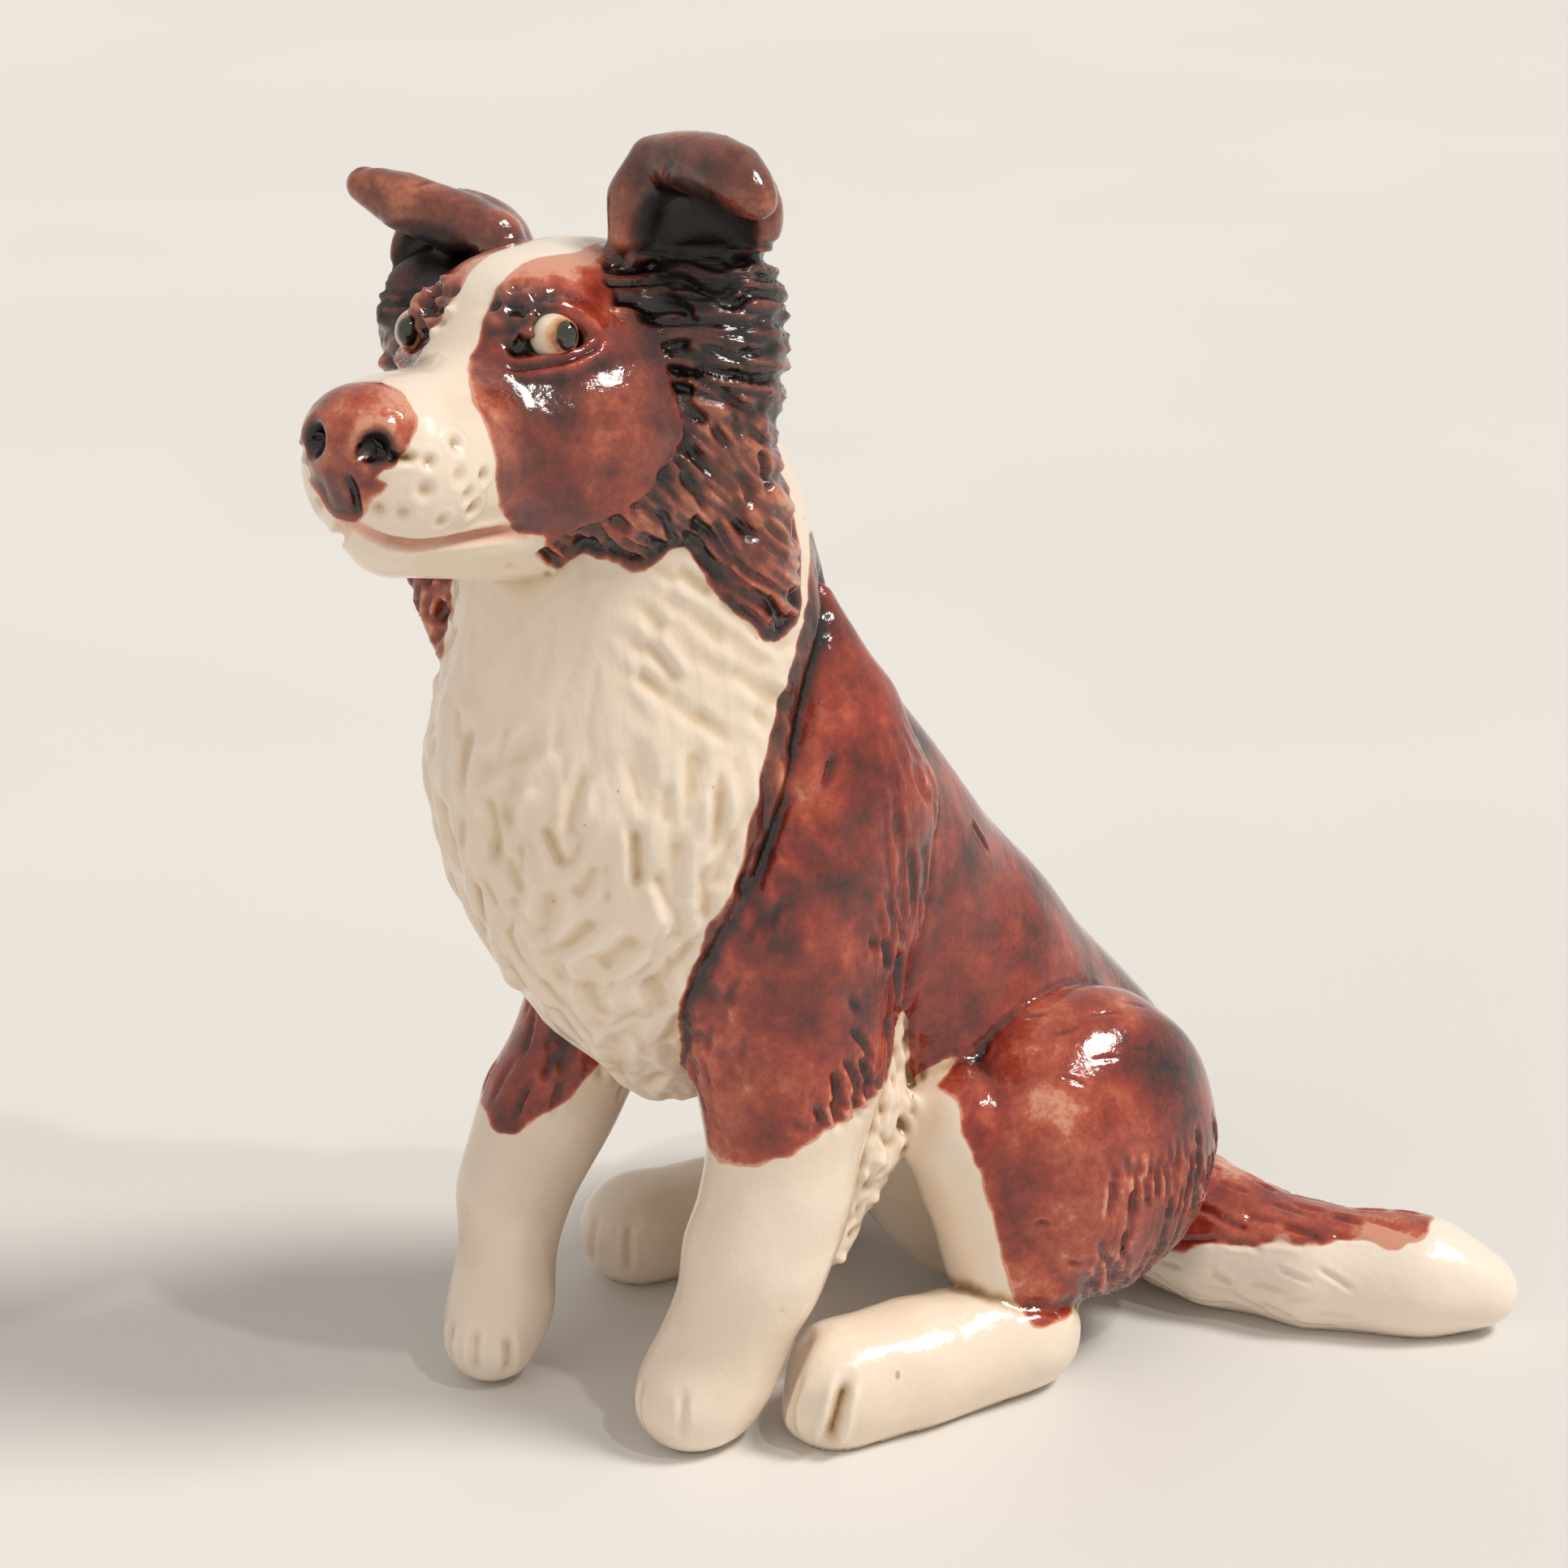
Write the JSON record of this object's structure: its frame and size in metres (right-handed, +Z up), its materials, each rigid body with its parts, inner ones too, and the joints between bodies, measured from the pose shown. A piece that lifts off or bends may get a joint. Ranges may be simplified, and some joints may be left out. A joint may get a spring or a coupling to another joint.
{
  "type": "ceramic dog sculpture",
  "caption": "Hand-modelled glazed figurine of a sitting long-haired dog, head turned to one side, tail laid out on the table, that stands on its paws, seat and tail.",
  "frame": {"origin": "middle of the footprint, on the table under the dog", "axes": "+Z up; -Y is the way the body faces; +X is the dog's left"},
  "size_m": [0.0782, 0.1322, 0.1419],
  "materials": {
    "brown_glaze": "glossy red-brown glaze, darker where it pools and lighter on edges",
    "dark_brown_glaze": "glossy dark brown glaze over carved hair",
    "white_glaze": "glossy cream-white glaze",
    "pupil_glaze": "very glossy black-green glaze"
  },
  "bodies": {
    "root": {"head": "brown_glaze", "lower_jaw": "white_glaze", "nose_pad": "brown_glaze", "trunk": "brown_glaze", "neck_and_chest": "white_glaze", "tail": "brown_glaze", "left_eyeball": "white_glaze", "left_pupil": "pupil_glaze", "left_upper_eyelid": "brown_glaze", "left_lower_eyelid": "brown_glaze", "left_ear": "dark_brown_glaze", "left_mane": "dark_brown_glaze", "left_foreleg": "brown_glaze", "left_elbow_feather": "white_glaze", "left_haunch": "brown_glaze", "left_shank": "white_glaze", "left_hind_foot": "white_glaze", "right_eyeball": "white_glaze", "right_pupil": "pupil_glaze", "right_upper_eyelid": "brown_glaze", "right_lower_eyelid": "brown_glaze", "right_ear": "dark_brown_glaze", "right_mane": "dark_brown_glaze", "right_foreleg": "brown_glaze", "right_elbow_feather": "white_glaze", "right_haunch": "brown_glaze", "right_shank": "white_glaze", "right_hind_foot": "white_glaze"}
  },
  "joints": []
}
